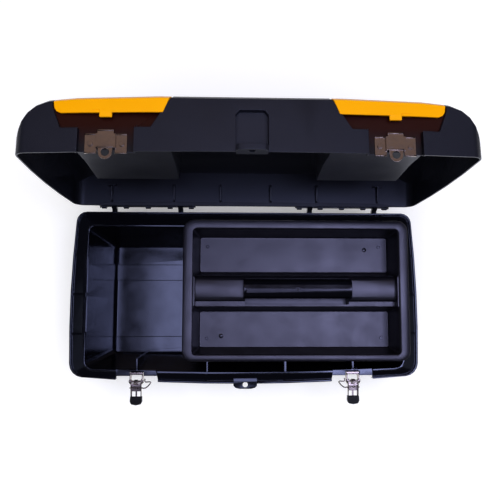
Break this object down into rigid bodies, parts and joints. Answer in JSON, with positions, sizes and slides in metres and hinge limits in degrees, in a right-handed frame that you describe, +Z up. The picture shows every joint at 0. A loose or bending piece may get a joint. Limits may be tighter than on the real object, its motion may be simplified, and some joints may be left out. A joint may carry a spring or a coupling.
{
  "type": "toolbox with tray",
  "caption": "Long black plastic toolbox with a hinged lid, yellow organizer covers, metal toggle latches and a lift-out tray with a moulded handle.",
  "frame": {"origin": "middle of the flat underside of the base", "axes": "+X along the long side, to the right seen from the front where the latches are; +Y towards the hinge side; +Z up"},
  "size_m": [0.614, 0.4519, 0.4797],
  "materials": {
    "black_shell": "moulded polypropylene, fine grain, semi-gloss on the inner faces",
    "tray_grey_black": "moulded polypropylene, satin",
    "yellow_cover": "moulded polypropylene, satin",
    "nickel_steel": "nickel plated pressed steel",
    "plain_steel": "zinc plated steel rod",
    "black_tip": "moulded nylon"
  },
  "bodies": {
    "base": {"base_shell": "black_shell", "hinge_pin_left": "plain_steel", "latch_bracket_left": "nickel_steel", "latch_pin_left": "nickel_steel", "hinge_pin_right": "plain_steel", "latch_bracket_right": "nickel_steel", "latch_pin_right": "nickel_steel", "bracket_rivet_left_low": "nickel_steel", "bracket_rivet_left_high": "nickel_steel", "bracket_rivet_right_low": "nickel_steel", "bracket_rivet_right_high": "nickel_steel"},
    "lid": {"lid_shell": "black_shell", "strike_plate_left": "nickel_steel", "strike_plate_right": "nickel_steel", "strike_rivet_left_a": "nickel_steel", "strike_rivet_left_b": "nickel_steel", "strike_rivet_right_a": "nickel_steel", "strike_rivet_right_b": "nickel_steel"},
    "cover_left": {"organizer_cover_left": "yellow_cover"},
    "cover_right": {"organizer_cover_right": "yellow_cover"},
    "handle": {"carry_handle": "black_shell"},
    "tray_body": {"tray": "tray_grey_black"},
    "lever_left": {"latch_lever_left": "nickel_steel", "latch_tip_left": "black_tip"},
    "wire_left": {"latch_wire_left": "nickel_steel"},
    "lever_right": {"latch_lever_right": "nickel_steel", "latch_tip_right": "black_tip"},
    "wire_right": {"latch_wire_right": "nickel_steel"}
  },
  "joints": [
    {"name": "lid_hinge", "type": "hinge", "parent": "base", "child": "lid", "pos_m": [0, 0.1527, 0.1618], "axis": [-1, 0, 0], "range_deg": [-93.1, 0]},
    {"name": "cover_left_hinge", "type": "hinge", "parent": "lid", "child": "cover_left", "pos_m": [-0.18, 0.25662, 0.29988], "axis": [-1, 0, 0], "range_deg": [0, 100]},
    {"name": "cover_right_hinge", "type": "hinge", "parent": "lid", "child": "cover_right", "pos_m": [0.18, 0.25662, 0.29988], "axis": [-1, 0, 0], "range_deg": [0, 100]},
    {"name": "handle_fold", "type": "hinge", "parent": "lid", "child": "handle", "pos_m": [0, 0.24474, 0.33578], "axis": [1, 0, 0], "range_deg": [0, 95]},
    {"name": "tray_lift", "type": "slide", "parent": "base", "child": "tray_body", "axis": [0, 0, 1], "range_m": [0, 0.25]},
    {"name": "latch_left", "type": "hinge", "parent": "base", "child": "lever_left", "pos_m": [-0.187, -0.152, 0.162], "axis": [1, 0, 0], "range_deg": [-90, 0]},
    {"name": "latch_wire_left", "type": "hinge", "parent": "lever_left", "child": "wire_left", "pos_m": [-0.187, -0.163, 0.1618], "axis": [1, 0, 0], "range_deg": [0, 90]},
    {"name": "latch_right", "type": "hinge", "parent": "base", "child": "lever_right", "pos_m": [0.187, -0.152, 0.162], "axis": [1, 0, 0], "range_deg": [-90, 0]},
    {"name": "latch_wire_right", "type": "hinge", "parent": "lever_right", "child": "wire_right", "pos_m": [0.187, -0.163, 0.1618], "axis": [1, 0, 0], "range_deg": [0, 90]}
  ]
}
